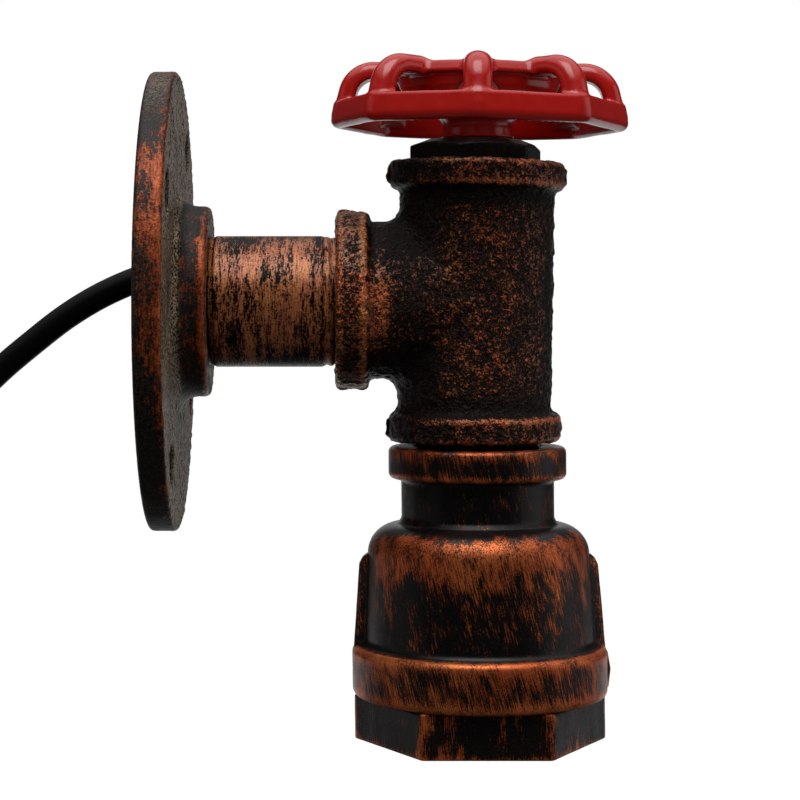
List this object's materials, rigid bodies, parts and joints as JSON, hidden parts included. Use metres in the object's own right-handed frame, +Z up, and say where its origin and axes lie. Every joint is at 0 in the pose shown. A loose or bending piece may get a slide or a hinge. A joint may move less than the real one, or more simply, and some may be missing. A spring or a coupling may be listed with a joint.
{
  "type": "pipe wall light",
  "caption": "Wall light of threaded iron pipe fittings: round flange, short arm, tee with a handwheel switch on top and a bell over a hexagonal mouth that holds the lampholder.",
  "frame": {"origin": "centre of the wall flange's back face, on the wall", "axes": "+X leads away from the wall along the arm, +Z is up, and the lamp's mouth looks down along -Z"},
  "size_m": [0.1488, 0.094, 0.2573],
  "materials": {
    "rubbed_copper": "black lacquer rubbed over with copper red",
    "black_iron": "black lacquer with worn copper edges",
    "red_enamel": "gloss enamel on iron",
    "steel": "zinc plated",
    "brass": "plain",
    "phenolic": "moulded, satin",
    "porcelain": "white glaze",
    "cord_sheath": "smooth black sheath",
    "core_brown": "smooth",
    "core_blue": "smooth",
    "core_green": "smooth"
  },
  "bodies": {
    "light_body": {"wall_flange": "rubbed_copper", "arm_nipple": "rubbed_copper", "tee": "rubbed_copper", "run_nipple": "black_iron", "bell": "rubbed_copper", "hex_bushing": "black_iron", "top_plug": "black_iron", "switch_bushing": "brass", "switch_jam_nut": "brass", "switch_housing": "phenolic", "switch_base": "phenolic", "switch_contacts": "brass", "switch_screws": "steel", "hanger_disc": "steel", "hanger_tube": "brass", "hanger_nut": "brass", "earth_ring": "brass", "holder_cap": "porcelain", "holder_body": "porcelain", "holder_shell": "brass", "holder_contact": "brass", "holder_terminals": "brass", "holder_screws": "steel", "cord_anchor": "phenolic", "anchor_screws": "steel", "cord_inside": "cord_sheath", "core_live": "core_brown", "core_neutral": "core_blue", "core_earth": "core_green", "core_switched": "core_brown", "supply_cord": "cord_sheath", "tail_live": "core_brown", "tail_neutral": "core_blue", "tail_earth": "core_green", "tail_ferrules": "steel"},
    "wheel_and_rotor": {"handwheel": "red_enamel", "spindle": "steel", "wheel_washer": "steel", "wheel_nut": "steel", "switch_rotor": "phenolic", "switch_blade": "brass"}
  },
  "joints": [
    {"name": "wheel_turn", "type": "hinge", "parent": "light_body", "child": "wheel_and_rotor", "pos_m": [0.0668, 0, 0.0334], "axis": [0, 0, 1], "range_deg": [0, 90]}
  ]
}
